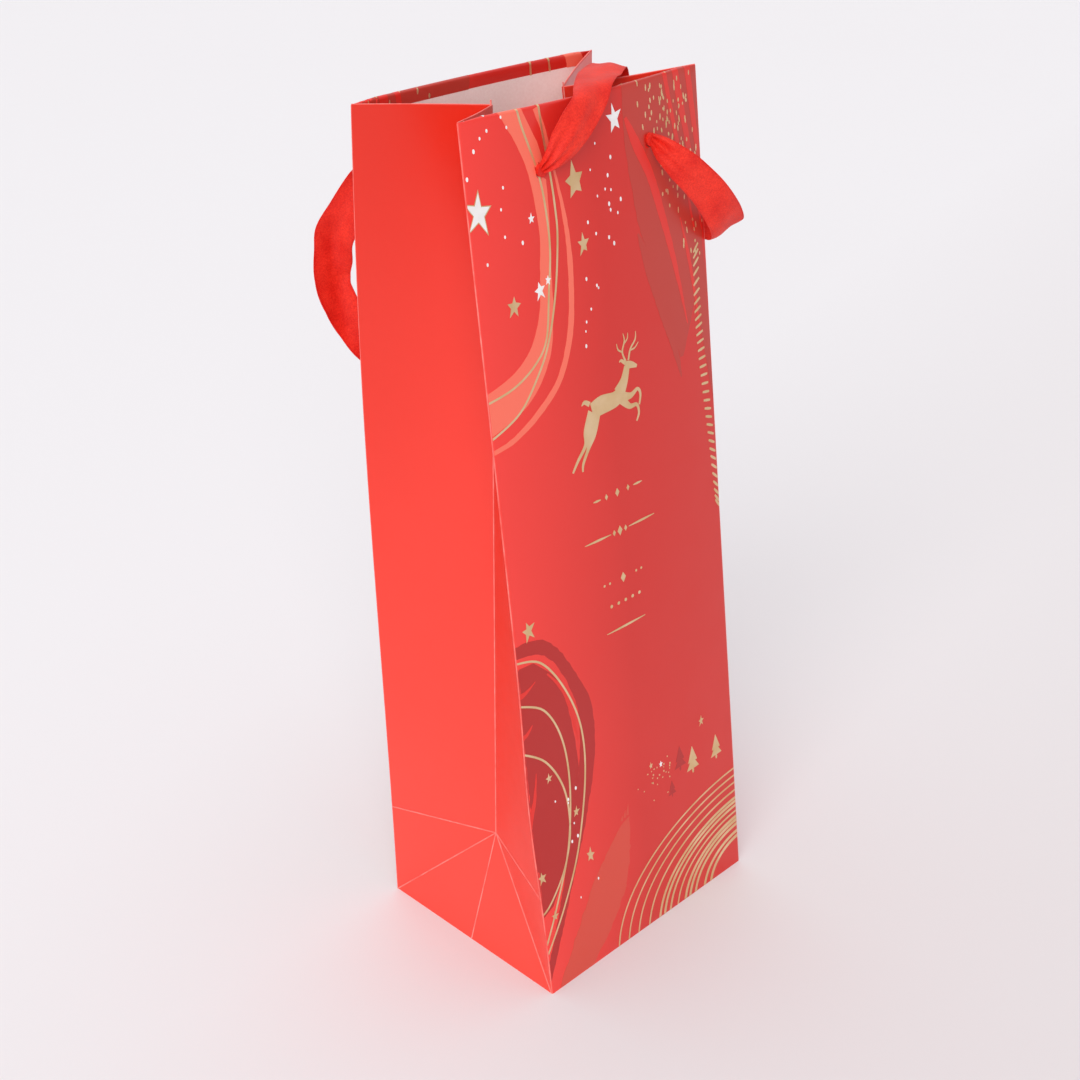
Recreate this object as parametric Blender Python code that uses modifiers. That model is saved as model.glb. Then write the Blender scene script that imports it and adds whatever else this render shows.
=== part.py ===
"""Wine gift bag: folded paper walls and side gussets, a turned-in rim and two ribbon handles.

Frame: the origin is the middle of the underside, +Z is up and the front panel faces -Y.
The bag is one die-cut sheet of paper on the real thing. Here each flat between two creases
is its own thin solid, with a hair gap at the crease.
"""
import math

import bpy
from mathutils import Matrix, Vector

# Driving dimensions, in metres
BASE_WIDTH = 0.120
BASE_DEPTH = 0.0985
RIM_Z = 0.352
FRONT_RIM_Y = -0.0134
BACK_RIM_Y = 0.0350
SCORE_Z = 0.046
SCORE_FOLD_IN = 0.0176
SCORE_APEX_Y = 0.0010
FRONT_RIM_SHIFT = 0.0015
BACK_RIM_SHIFT = -0.0047
LEFT_APEX = (-0.0218, 0.0099)
RIGHT_APEX = (0.0151, 0.0106)
APEX_DROP = 0.0020

PAPER = 0.0004
GAP = 0.0003
RIM_CARD = 0.0008
BASE_CARD = 0.0010
CREASE_INSET = 0.0005
SHARP_CREASE_INSET = 0.0009
CORNER_CREASE_INSET = 0.0018

HEM_HEIGHT = 0.034
CARD_HEIGHT = 0.031
CORNER_CLEARANCE = 0.012

HOLE_X = 0.028
HOLE_BELOW_RIM = 0.0210
HOLE_RADIUS = 0.00275
HOLE_SIDES = 16

FLAP_REACH = 0.060
SIDE_FLAP_REACH = 0.042
FLAP_TAPER = 0.005
SIDE_FLAP_TAPER = 0.018
SEAM_TAB_WIDTH = 0.014
SEAM_TAB_INSET = 0.004

RIBBON_WIDTH = 0.015
RIBBON_THICKNESS = 0.0004
RIBBON_NECK = 0.0034
RIBBON_STEPS = 6
KNOT_RADIUS = 0.0042
KNOT_STEM_RADIUS = 0.0016
KNOT_STEPS = 16
FRONT_STEM = 0.0042
BACK_STEM = 0.0032
NECK_GAP = 0.0004

# Routes of the two ribbons. Each row is a point on the middle line, the direction across
# the ribbon, and how far it is opened out, from 0 (gathered at a hole) to 1 (full width).
FRONT_ROUTE = (
    ((-0.0265, -0.0201, 0.3315), (-0.50, 0.10, 0.90), 0.0),
    ((-0.0246, -0.0232, 0.3346), (-0.60, 0.15, 0.80), 0.42),
    ((-0.0206, -0.0250, 0.3396), (-0.68, 0.15, 0.72), 0.80),
    ((-0.0138, -0.0248, 0.3456), (-0.74, 0.15, 0.65), 0.95),
    ((-0.0054, -0.0225, 0.3512), (-0.90, 0.15, 0.38), 1.0),
    ((0.0014, -0.0178, 0.3547), (-0.95, 0.33, 0.08), 1.0),
    ((0.0095, -0.0118, 0.3552), (-0.80, 0.60, 0.00), 1.0),
    ((0.0180, -0.0055, 0.3548), (-0.60, 0.80, 0.00), 1.0),
    ((0.0280, 0.0015, 0.3545), (-0.45, 0.90, 0.00), 1.0),
    ((0.0365, 0.0066, 0.3530), (-0.15, 1.00, 0.00), 1.0),
    ((0.0405, 0.0082, 0.3485), (0.00, 1.00, 0.05), 1.0),
    ((0.0425, 0.0084, 0.3400), (-0.30, 0.93, -0.10), 1.0),
    ((0.0465, 0.0075, 0.3270), (-0.65, 0.65, -0.35), 1.0),
    ((0.0540, 0.0045, 0.3110), (-0.85, 0.35, -0.42), 1.0),
    ((0.0620, -0.0040, 0.2980), (-0.70, 0.50, -0.50), 1.0),
    ((0.0680, -0.0150, 0.2905), (-0.62, 0.60, -0.50), 1.0),
    ((0.0695, -0.0210, 0.2885), (-0.70, 0.50, -0.50), 1.0),
    ((0.0680, -0.0255, 0.2905), (-0.75, 0.42, -0.50), 1.0),
    ((0.0610, -0.0290, 0.2980), (-0.76, 0.40, -0.50), 1.0),
    ((0.0512, -0.0295, 0.3090), (-0.74, 0.40, -0.54), 0.92),
    ((0.0403, -0.0275, 0.3197), (-0.66, 0.45, -0.60), 0.80),
    ((0.0330, -0.0242, 0.3270), (-0.55, 0.45, -0.70), 0.50),
    ((0.0295, -0.0201, 0.3315), (-0.40, 0.10, -0.90), 0.0),
)
BACK_ROUTE = (
    ((-0.0327, 0.0394, 0.3311), (1.00, 0.00, 0.00), 0.0),
    ((-0.0400, 0.0455, 0.3260), (0.75, -0.45, -0.45), 0.7),
    ((-0.0470, 0.0530, 0.3160), (0.30, -0.65, -0.70), 1.0),
    ((-0.0505, 0.0610, 0.3044), (0.40, -0.75, -0.52), 1.0),
    ((-0.0520, 0.0670, 0.2958), (0.67, -0.62, -0.42), 1.0),
    ((-0.0510, 0.0700, 0.2870), (0.82, -0.47, -0.30), 1.0),
    ((-0.0508, 0.0715, 0.2780), (0.97, -0.22, 0.05), 1.0),
    ((-0.0495, 0.0710, 0.2695), (0.72, -0.20, 0.65), 1.0),
    ((-0.0455, 0.0690, 0.2585), (0.45, -0.45, 0.77), 1.0),
    ((-0.0410, 0.0660, 0.2500), (0.45, -0.45, 0.77), 1.0),
    ((-0.0345, 0.0635, 0.2440), (0.30, -0.45, 0.80), 1.0),
    ((-0.0230, 0.0620, 0.2405), (0.10, -0.55, 0.80), 1.0),
    ((-0.0080, 0.0610, 0.2395), (0.00, -0.60, 0.78), 1.0),
    ((0.0110, 0.0615, 0.2425), (0.10, -0.75, 0.50), 1.0),
    ((0.0300, 0.0640, 0.2520), (0.30, -0.80, 0.35), 1.0),
    ((0.0420, 0.0660, 0.2690), (0.55, -0.80, 0.10), 1.0),
    ((0.0460, 0.0660, 0.2900), (0.70, -0.70, -0.05), 1.0),
    ((0.0430, 0.0610, 0.3110), (0.70, -0.60, -0.30), 1.0),
    ((0.0310, 0.0500, 0.3270), (0.70, -0.45, -0.50), 0.75),
    ((0.0233, 0.0394, 0.3311), (1.00, 0.00, 0.00), 0.0),
)

# Corners of the folded sheet
HALF_WIDTH = BASE_WIDTH / 2
HALF_DEPTH = BASE_DEPTH / 2
SCORE_FRONT_Y = -HALF_DEPTH + (FRONT_RIM_Y + HALF_DEPTH) * SCORE_Z / RIM_Z
SCORE_BACK_Y = HALF_DEPTH + (BACK_RIM_Y - HALF_DEPTH) * SCORE_Z / RIM_Z


def clear_scene():
    """Remove every object that is already there."""
    for old in list(bpy.data.objects):
        bpy.data.objects.remove(old, do_unlink=True)


def new_collection(name):
    """Make a collection under the scene."""
    collection = bpy.data.collections.new(name)
    bpy.context.scene.collection.children.link(collection)
    return collection


def new_material(name, color, roughness, metallic=0.0):
    """Make a Principled material."""
    material = bpy.data.materials.new(name)
    material.use_nodes = True
    shader = material.node_tree.nodes["Principled BSDF"]
    shader.inputs["Base Color"].default_value = (*color, 1.0)
    shader.inputs["Roughness"].default_value = roughness
    shader.inputs["Metallic"].default_value = metallic
    material.diffuse_color = (*color, 1.0)
    return material


def part_material(name, kind):
    """Give one part its own material, from the stock that it is made of."""
    stock = {
        "printed": ((0.78, 0.045, 0.030), 0.38),
        "inner": ((0.80, 0.74, 0.72), 0.70),
        "card": ((0.72, 0.66, 0.58), 0.80),
        "ribbon": ((0.85, 0.030, 0.015), 0.45),
    }
    color, roughness = stock[kind]
    return new_material(name + "_" + kind, color, roughness)


def inset_polygon(points, insets):
    """Move each edge of a convex counter-clockwise outline inwards by its own distance."""
    count = len(points)
    lines = []
    for index in range(count):
        start = points[index]
        along = (points[(index + 1) % count] - start).normalized()
        inward = Vector((-along.y, along.x))
        lines.append((start + inward * insets[index], along))
    corners = []
    for index in range(count):
        (point_a, along_a) = lines[index - 1]
        (point_b, along_b) = lines[index]
        cross = along_a.x * along_b.y - along_a.y * along_b.x
        between = point_b - point_a
        reach = (between.x * along_b.y - between.y * along_b.x) / cross
        corners.append(point_a + along_a * reach)
    return corners


def add_outline(curve, points):
    """Add one closed straight-sided outline to a 2D curve."""
    spline = curve.splines.new("POLY")
    spline.points.add(len(points) - 1)
    for target, point in zip(spline.points, points):
        target.co = (point.x, point.y, 0.0, 1.0)
    spline.use_cyclic_u = True


def circle_points(centre, radius, sides):
    """Points of a round hole."""
    turn = 2 * math.pi / sides
    return [
        centre + Vector((radius * math.cos(turn * step), radius * math.sin(turn * step)))
        for step in range(sides)
    ]


def plane_frame(corners):
    """Frame of a flat outline: x along the first edge, z out of its front."""
    origin = corners[0]
    x_axis = (corners[1] - origin).normalized()
    z_axis = x_axis.cross(corners[2] - origin).normalized()
    y_axis = z_axis.cross(x_axis)
    frame = Matrix((x_axis, y_axis, z_axis)).transposed().to_4x4()
    frame.translation = origin
    return frame


def plate(name, corners, insets, kind, thickness=PAPER, depth=0.0, holes=()):
    """One flat of paper or card. `depth` is how far its middle lies behind the outline."""
    frame = plane_frame(corners)
    flat = [(frame.inverted() @ corner).to_2d() for corner in corners]
    curve = bpy.data.curves.new(name, "CURVE")
    curve.dimensions = "2D"
    curve.fill_mode = "BOTH"
    curve.extrude = thickness / 2
    add_outline(curve, inset_polygon(flat, insets))
    for hole in holes:
        centre = (frame.inverted() @ hole).to_2d()
        add_outline(curve, circle_points(centre, HOLE_RADIUS, HOLE_SIDES))
    part = bpy.data.objects.new(name, curve)
    PARTS.objects.link(part)
    part.matrix_world = frame @ Matrix.Translation((0.0, 0.0, -depth))
    curve.materials.append(part_material(name, kind))
    return part


def hang_on(parts, parent):
    """Parent parts to an empty without moving them."""
    bpy.context.view_layer.update()
    for part in parts:
        part.parent = parent
        part.matrix_parent_inverse = parent.matrix_world.inverted()


def joint_empty(name, place):
    """An empty on a joint's axis."""
    empty = bpy.data.objects.new(name, None)
    empty.location = place
    PARTS.objects.link(empty)
    return empty


def wall_corners(base_y, rim_y, rim_shift):
    """Corners of a broad wall: counter-clockwise as seen from outside."""
    right = HALF_WIDTH if base_y < 0 else -HALF_WIDTH
    return [
        Vector((-right, base_y, 0.0)),
        Vector((right, base_y, 0.0)),
        Vector((right + rim_shift, rim_y, RIM_Z)),
        Vector((-right + rim_shift, rim_y, RIM_Z)),
    ]


def wall_holes(corners):
    """Centres of the two ribbon holes in a broad wall."""
    left_rim = min((corners[2], corners[3]), key=lambda corner: corner.x)
    left_base = min((corners[0], corners[1]), key=lambda corner: corner.x)
    down = (left_base - left_rim).normalized()
    row = left_rim + down * HOLE_BELOW_RIM
    middle = (corners[2].x + corners[3].x) / 2
    return [Vector((middle + side * HOLE_X, row.y, row.z)) for side in (-1, 1)]


def rim_band(corners, height):
    """Corners of a band of a broad wall that runs down from the rim."""
    down_right = (corners[1] - corners[2]).normalized() * height
    down_left = (corners[0] - corners[3]).normalized() * height
    return [corners[3] + down_left, corners[2] + down_right, corners[2], corners[3]]


def build_wall(side, corners):
    """A broad wall with the card and the turned-in hem behind its rim."""
    holes = wall_holes(corners)
    wall = plate(side + "_panel", corners, [0.0, CREASE_INSET, 0.0, CREASE_INSET], "printed", holes=holes)
    card_depth = PAPER / 2 + GAP + RIM_CARD / 2
    hem_depth = card_depth + RIM_CARD / 2 + GAP + PAPER / 2
    card = plate(
        side + "_rim_card", rim_band(corners, CARD_HEIGHT),
        [0.0, CORNER_CLEARANCE, 0.001, CORNER_CLEARANCE], "card",
        thickness=RIM_CARD, depth=card_depth, holes=holes,
    )
    hem = plate(
        side + "_rim_hem", rim_band(corners, HEM_HEIGHT),
        [0.0, CORNER_CLEARANCE, 0.0, CORNER_CLEARANCE], "inner",
        depth=hem_depth, holes=holes,
    )
    return [wall, card, hem], holes


def facet(name, corners, outward, insets, kind, depth=0.0):
    """A flat with three or four corners, turned so that its front faces `outward`."""
    normal = (corners[1] - corners[0]).cross(corners[2] - corners[0])
    if normal.dot(outward) < 0:
        corners = [corners[0]] + list(reversed(corners[1:]))
        insets = list(reversed(insets))
    return plate(name, corners, insets, kind, depth=depth)


def build_gusset_half(side, half):
    """Half of a side gusset, from the floor to the rim, with its rim hem."""
    sign = -1 if side == "left" else 1
    apex_x, apex_y = LEFT_APEX if side == "left" else RIGHT_APEX
    front = half == "front"
    edge_x = sign * HALF_WIDTH
    floor_corner = Vector((edge_x, -HALF_DEPTH if front else HALF_DEPTH, 0.0))
    score_shift = (FRONT_RIM_SHIFT if front else BACK_RIM_SHIFT) * SCORE_Z / RIM_Z
    score_y = SCORE_FRONT_Y if front else SCORE_BACK_Y
    score_corner = Vector((edge_x + score_shift, score_y, SCORE_Z))
    rim_shift = FRONT_RIM_SHIFT if front else BACK_RIM_SHIFT
    rim_corner = Vector((edge_x + rim_shift, FRONT_RIM_Y if front else BACK_RIM_Y, RIM_Z))
    foot = Vector((edge_x, 0.0, 0.0))
    score_apex = Vector((edge_x - sign * SCORE_FOLD_IN, SCORE_APEX_Y, SCORE_Z))
    rim_apex = Vector((apex_x, apex_y, RIM_Z - APEX_DROP))
    outward = Vector((sign, 0.35 if front else -0.35, 0.0))
    name = side + "_gusset_" + half
    wall, crease, sharp = CREASE_INSET, CREASE_INSET, SHARP_CREASE_INSET

    facet(name + "_foot", [floor_corner, foot, score_apex], Vector((sign, 0.0, 0.0)),
          [0.0, sharp, crease], "printed")
    facet(name + "_corner", [floor_corner, score_apex, score_corner], outward,
          [crease, crease, wall], "printed")
    facet(name + "_lower", [score_corner, score_apex, rim_apex], outward,
          [crease, sharp, crease], "printed")
    facet(name + "_upper", [score_corner, rim_apex, rim_corner], outward,
          [crease, 0.0, CORNER_CREASE_INSET], "printed")
    down_edge = (score_corner - rim_corner).normalized() * HEM_HEIGHT
    down_fold = (score_corner - rim_apex).normalized() * HEM_HEIGHT
    hem_corners = [rim_corner + down_edge, rim_apex + down_fold, rim_apex, rim_corner]
    facet(name + "_rim_hem", hem_corners, outward, [0.0, 0.003, 0.0, 0.006], "inner",
          depth=PAPER + GAP)


def build_base():
    """The four glued flaps of the floor and the card that lies on them."""
    edge_x = HALF_WIDTH - PAPER - GAP
    edge_y = HALF_DEPTH - PAPER - GAP
    layer = PAPER + GAP
    none = [0.0] * 4
    for order, sign in enumerate((-1, 1)):
        side = "front" if sign < 0 else "back"
        level = layer * order + PAPER / 2
        inner_y = sign * (edge_y - FLAP_REACH)
        outline = [
            Vector((-edge_x, sign * edge_y, level)),
            Vector((edge_x, sign * edge_y, level)),
            Vector((edge_x - FLAP_TAPER, inner_y, level)),
            Vector((-edge_x + FLAP_TAPER, inner_y, level)),
        ]
        facet(side + "_base_flap", outline, Vector((0, 0, -1)), none, "printed")
    for sign in (-1, 1):
        side = "left" if sign < 0 else "right"
        level = layer * 2 + PAPER / 2
        lift = 0.0015
        inner_x = sign * (edge_x - SIDE_FLAP_REACH)
        outline = [
            Vector((sign * (edge_x - lift), -edge_y + lift, level)),
            Vector((sign * (edge_x - lift), edge_y - lift, level)),
            Vector((inner_x, edge_y - SIDE_FLAP_TAPER, level)),
            Vector((inner_x, -edge_y + SIDE_FLAP_TAPER, level)),
        ]
        facet(side + "_base_flap", outline, Vector((0, 0, -1)), none, "inner")
    board_level = layer * 3 + BASE_CARD / 2
    margin = 0.004
    board = [
        Vector((-edge_x + margin, -edge_y + margin, board_level)),
        Vector((edge_x - margin, -edge_y + margin, board_level)),
        Vector((edge_x - margin, edge_y - margin, board_level)),
        Vector((-edge_x + margin, edge_y - margin, board_level)),
    ]
    plate("base_board", board, none, "card", thickness=BASE_CARD)


def build_seam_tab(back_corners):
    """The glued tab that closes the sheet, inside the back panel's right edge."""
    low_right = min(back_corners, key=lambda corner: (corner.z, -corner.x))
    high_right = max(back_corners, key=lambda corner: (corner.z, corner.x))
    up = (high_right - low_right).normalized()
    inset = Vector((SEAM_TAB_INSET, 0.0, 0.0))
    width = Vector((SEAM_TAB_WIDTH, 0.0, 0.0))
    bottom = low_right + up * 0.052 - inset
    top = high_right - up * (HEM_HEIGHT + 0.001) - inset
    facet("seam_tab", [bottom, top, top - width, bottom - width], Vector((0, 1, 0)),
          [0.0] * 4, "printed", depth=PAPER + GAP)


def smooth_route(rows):
    """Points along a Catmull-Rom curve through the rows of a ribbon's route."""
    knots = [(Vector(place), Vector(across).normalized(), opened) for place, across, opened in rows]
    sections = []
    for index in range(len(knots) - 1):
        before = knots[max(index - 1, 0)]
        start = knots[index]
        end = knots[index + 1]
        after = knots[min(index + 2, len(knots) - 1)]
        for step in range(RIBBON_STEPS):
            t = step / RIBBON_STEPS
            place = 0.5 * (
                2 * start[0] + (end[0] - before[0]) * t
                + (2 * before[0] - 5 * start[0] + 4 * end[0] - after[0]) * t ** 2
                + (3 * start[0] - before[0] - 3 * end[0] + after[0]) * t ** 3
            )
            across = start[1].lerp(end[1], t).normalized()
            sections.append((place, across, start[2] + (end[2] - start[2]) * t))
    sections.append(knots[-1])
    return sections


def build_ribbon(name, rows):
    """A flat ribbon: an open strip along its route, given its thickness."""
    verts = []
    for place, across, opened in smooth_route(rows):
        half = (RIBBON_NECK + (RIBBON_WIDTH - RIBBON_NECK) * opened) / 2
        verts.append(place - across * half)
        verts.append(place + across * half)
    count = len(verts) // 2
    faces = [(2 * i, 2 * i + 1, 2 * i + 3, 2 * i + 2) for i in range(count - 1)]
    mesh = bpy.data.meshes.new(name)
    mesh.from_pydata(verts, [], faces)
    ribbon = bpy.data.objects.new(name, mesh)
    PARTS.objects.link(ribbon)
    solid = ribbon.modifiers.new("Thickness", "SOLIDIFY")
    solid.thickness = RIBBON_THICKNESS
    solid.offset = 0.0
    mesh.materials.append(part_material(name, "ribbon"))
    return ribbon


def build_knot(name, hole, outward, stem_out):
    """A stopper knot behind a hole, with the gathered ribbon that fills the hole."""
    stem_in = PAPER / 2 + RIM_CARD + PAPER + 3 * GAP
    profile = [(KNOT_STEM_RADIUS, stem_out), (KNOT_STEM_RADIUS, -stem_in)]
    lump_steps = 6
    for step in range(lump_steps):
        turn = math.radians(35 + 145 * step / lump_steps)
        radius = KNOT_RADIUS * math.sin(turn)
        height = -stem_in - KNOT_RADIUS * (math.cos(math.radians(35)) - math.cos(turn))
        profile.append((radius, height))
    bottom = -stem_in - KNOT_RADIUS * (1 + math.cos(math.radians(35)))
    verts = [(0.0, 0.0, stem_out)] + [(x, 0.0, z) for x, z in profile] + [(0.0, 0.0, bottom)]
    edges = [(i, i + 1) for i in range(len(verts) - 1)]
    mesh = bpy.data.meshes.new(name)
    mesh.from_pydata(verts, edges, [])
    knot = bpy.data.objects.new(name, mesh)
    PARTS.objects.link(knot)
    turned = knot.modifiers.new("Turn", "SCREW")
    turned.steps = KNOT_STEPS
    turned.render_steps = KNOT_STEPS
    turned.use_merge_vertices = True
    turned.merge_threshold = 0.00001
    turned.use_smooth_shade = True
    knot.matrix_world = Matrix.Translation(hole) @ outward.to_track_quat("Z", "Y").to_matrix().to_4x4()
    mesh.materials.append(part_material(name, "ribbon"))
    return knot


def build_handle(side, rows, holes, outward, stem):
    """One ribbon handle with the two knots that hold it."""
    ribbon = build_ribbon(side + "_ribbon", rows)
    knots = []
    for label, hole in zip(("left", "right"), holes):
        knots.append(build_knot(side + "_knot_" + label, hole, outward, stem))
    pivot = (holes[0] + holes[1]) / 2 + outward * (stem + NECK_GAP)
    swing = joint_empty(side + "_handle_swing", pivot)
    hang_on([ribbon], swing)
    return knots, swing


def main():
    """Build the whole bag."""
    front_corners = wall_corners(-HALF_DEPTH, FRONT_RIM_Y, FRONT_RIM_SHIFT)
    back_corners = wall_corners(HALF_DEPTH, BACK_RIM_Y, BACK_RIM_SHIFT)
    front_parts, front_holes = build_wall("front", front_corners)
    _, back_holes = build_wall("back", back_corners)
    for side in ("left", "right"):
        for half in ("front", "back"):
            build_gusset_half(side, half)
    build_base()
    build_seam_tab(back_corners)
    front_out = plane_frame(front_corners).col[2].to_3d()
    back_out = plane_frame(back_corners).col[2].to_3d()
    front_knots, front_swing = build_handle("front", FRONT_ROUTE, front_holes, front_out, FRONT_STEM)
    build_handle("back", BACK_ROUTE, back_holes, back_out, BACK_STEM)
    fold = joint_empty("front_panel_fold", (0.0, -HALF_DEPTH, 0.0))
    hang_on(front_parts + front_knots + [front_swing], fold)


clear_scene()
PARTS = new_collection("wine_gift_bag")
main()
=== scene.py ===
"""Wine gift bag: the visual model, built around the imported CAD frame.

Distances are in metres in the frame's axes: +Z is up and the front wall faces -Y.
Printed artwork is drawn flat, in millimetres across and up a broad wall as seen from
outside, and then laid on the bowed wall and over its folded rim.
"""

import math
import random

import bmesh
import bpy
from mathutils import Matrix, Vector


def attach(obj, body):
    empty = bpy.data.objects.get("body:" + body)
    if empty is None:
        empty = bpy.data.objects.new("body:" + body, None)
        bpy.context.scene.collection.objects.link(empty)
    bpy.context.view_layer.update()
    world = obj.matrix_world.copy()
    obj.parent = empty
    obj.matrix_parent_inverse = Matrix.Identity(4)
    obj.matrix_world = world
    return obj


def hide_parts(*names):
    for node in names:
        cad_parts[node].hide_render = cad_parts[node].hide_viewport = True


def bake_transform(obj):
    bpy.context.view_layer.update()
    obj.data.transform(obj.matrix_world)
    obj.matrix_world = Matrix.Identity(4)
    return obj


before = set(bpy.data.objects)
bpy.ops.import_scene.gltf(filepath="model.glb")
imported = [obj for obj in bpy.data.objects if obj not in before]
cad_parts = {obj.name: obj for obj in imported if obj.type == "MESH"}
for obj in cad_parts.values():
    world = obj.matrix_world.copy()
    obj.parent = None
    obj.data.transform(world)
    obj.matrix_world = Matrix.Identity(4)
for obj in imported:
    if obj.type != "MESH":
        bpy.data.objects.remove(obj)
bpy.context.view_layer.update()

MM = 0.001
UP = Vector((0.0, 0.0, 1.0))

# The folded sheet
HALF_WIDTH = 0.060
HALF_DEPTH = 0.04925
RIM_Z = 0.352
RIM_Y = {"front": -0.0134, "back": 0.0350}
RIM_SHIFT = {"front": 0.0015, "back": -0.0047}
OUTWARD = {"front": -1.0, "back": 1.0}
SIGN = {"left": -1.0, "right": 1.0}
BOW = {"front": 0.0050, "back": 0.0020}
BOW_POWER = 0.6
FRONT_DENT = 0.0022
FRONT_DENT_Z = 0.085
FRONT_DENT_REACH = 0.040
BACK_SWELL = 0.0036
SCORE_Z = 0.046
SCORE_APEX_X = 0.0424
SCORE_APEX_Y = 0.0010
RIM_APEX = {"left": (-0.0218, 0.0099), "right": (0.0151, 0.0106)}
APEX_Z = 0.350
PAPER = 0.0004
CARD = 0.0008
FOLD_RADIUS = 0.0006
GUSSET_BULGE = 0.0024
SHEET_CELL = 0.005
SHEET_ROW = 0.006
BARE_GUSSET_ROWS = 5
GUSSET_FLATS = ("upper", "lower", "corner", "foot", "rim_hem")

# Beads along the folds: worn pale ink and a painted highlight
CREASE_BEAD = 0.00030
RIM_BEAD = 0.00022
EDGE_SHARE = 0.9965
EDGE_SINK = 0.00022
LONG_STEPS = 60

HEM = 0.034
HEM_INSET = 0.0008
CARD_REACH = 0.031
PRINTED_HEM = 0.006
HEM_GAP = 0.0018
CORNER_HEM_GAP = 0.0004
GUSSET_HEM_GAP = 0.0007
CARD_CLEARANCE = 0.2
CARD_GAP = 0.0001
RIM_CLEARANCE = 0.001
TAB_ACROSS = (-0.0545, -0.0405)
TAB_FOOT = 0.052
TAB_GAP = 0.0003

HOLE_RADIUS = 0.00275
HOLES = {
    "front": ((-0.0265, -0.0194, 0.33111), (0.0295, -0.0194, 0.33111)),
    "back": ((-0.0327, 0.0374, 0.33102), (0.0233, 0.0374, 0.33102)),
}

# The body that each broad wall rides
BODY = {"front": "front_wall", "back": "bag"}

# The ribbons
RIBBON_WIDTH = 0.015
RIBBON_NECK = 0.0034
RIBBON_THICKNESS = 0.00035
RIBBON_STEPS = 14
RIBBON_CELLS = 18
RIB_PITCH = 0.00045
THREAD_PITCH = 0.00030
PLEAT = 0.0009
RIPPLES = ((0.00030, 210.0, 2.2), (0.00035, 95.0, -4.0))
KNOT_LOOP = 0.0030
KNOT_DEPTH = -0.0062
NECK_TOP = 0.0011
NECK_LENGTH = 0.0058
TAIL_REACH = 0.0006
TAIL_DROP = 0.0004
STRAND_RADII = (0.00105, 0.0025, 0.0011)
FRONT_ROUTE = (
    ((-0.0265, -0.0201, 0.3315), (-0.50, 0.10, 0.90), 0.0),
    ((-0.0246, -0.0232, 0.3346), (-0.60, 0.15, 0.80), 0.42),
    ((-0.0206, -0.0250, 0.3396), (-0.68, 0.15, 0.72), 0.80),
    ((-0.0138, -0.0248, 0.3456), (-0.74, 0.15, 0.65), 0.95),
    ((-0.0054, -0.0225, 0.3512), (-0.90, 0.15, 0.38), 1.0),
    ((0.0014, -0.0178, 0.3547), (-0.95, 0.33, 0.08), 1.0),
    ((0.0095, -0.0118, 0.3552), (-0.80, 0.60, 0.00), 1.0),
    ((0.0180, -0.0055, 0.3548), (-0.60, 0.80, 0.00), 1.0),
    ((0.0280, 0.0015, 0.3545), (-0.45, 0.90, 0.00), 1.0),
    ((0.0365, 0.0066, 0.3530), (-0.15, 1.00, 0.00), 1.0),
    ((0.0405, 0.0082, 0.3485), (0.00, 1.00, 0.05), 1.0),
    ((0.0425, 0.0084, 0.3400), (-0.30, 0.93, -0.10), 1.0),
    ((0.0465, 0.0075, 0.3270), (-0.65, 0.65, -0.35), 1.0),
    ((0.0540, 0.0045, 0.3110), (-0.85, 0.35, -0.42), 1.0),
    ((0.0620, -0.0040, 0.2980), (-0.70, 0.50, -0.50), 1.0),
    ((0.0680, -0.0150, 0.2905), (-0.62, 0.60, -0.50), 1.0),
    ((0.0695, -0.0210, 0.2885), (-0.70, 0.50, -0.50), 1.0),
    ((0.0680, -0.0255, 0.2905), (-0.75, 0.42, -0.50), 1.0),
    ((0.0610, -0.0290, 0.2980), (-0.76, 0.40, -0.50), 1.0),
    ((0.0512, -0.0295, 0.3090), (-0.74, 0.40, -0.54), 0.92),
    ((0.0403, -0.0275, 0.3197), (-0.66, 0.45, -0.60), 0.80),
    ((0.0330, -0.0242, 0.3270), (-0.55, 0.45, -0.70), 0.50),
    ((0.0295, -0.0201, 0.3315), (-0.40, 0.10, -0.90), 0.0),
)
BACK_ROUTE = (
    ((-0.0327, 0.0394, 0.3311), (1.00, 0.00, 0.00), 0.0),
    ((-0.0400, 0.0455, 0.3260), (0.75, -0.45, -0.45), 0.7),
    ((-0.0470, 0.0530, 0.3160), (0.30, -0.65, -0.70), 1.0),
    ((-0.0505, 0.0610, 0.3044), (0.40, -0.75, -0.52), 1.0),
    ((-0.0520, 0.0670, 0.2958), (0.67, -0.62, -0.42), 1.0),
    ((-0.0510, 0.0700, 0.2870), (0.82, -0.47, -0.30), 1.0),
    ((-0.0508, 0.0715, 0.2780), (0.97, -0.22, 0.05), 1.0),
    ((-0.0495, 0.0710, 0.2695), (0.72, -0.20, 0.65), 1.0),
    ((-0.0455, 0.0690, 0.2585), (0.45, -0.45, 0.77), 1.0),
    ((-0.0410, 0.0660, 0.2500), (0.45, -0.45, 0.77), 1.0),
    ((-0.0345, 0.0635, 0.2440), (0.30, -0.45, 0.80), 1.0),
    ((-0.0230, 0.0620, 0.2405), (0.10, -0.55, 0.80), 1.0),
    ((-0.0080, 0.0610, 0.2395), (0.00, -0.60, 0.78), 1.0),
    ((0.0110, 0.0615, 0.2425), (0.10, -0.75, 0.50), 1.0),
    ((0.0300, 0.0640, 0.2520), (0.30, -0.80, 0.35), 1.0),
    ((0.0420, 0.0660, 0.2690), (0.55, -0.80, 0.10), 1.0),
    ((0.0460, 0.0660, 0.2900), (0.70, -0.70, -0.05), 1.0),
    ((0.0430, 0.0610, 0.3110), (0.70, -0.60, -0.30), 1.0),
    ((0.0310, 0.0500, 0.3270), (0.70, -0.45, -0.50), 0.75),
    ((0.0233, 0.0394, 0.3311), (1.00, 0.00, 0.00), 0.0),
)

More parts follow.
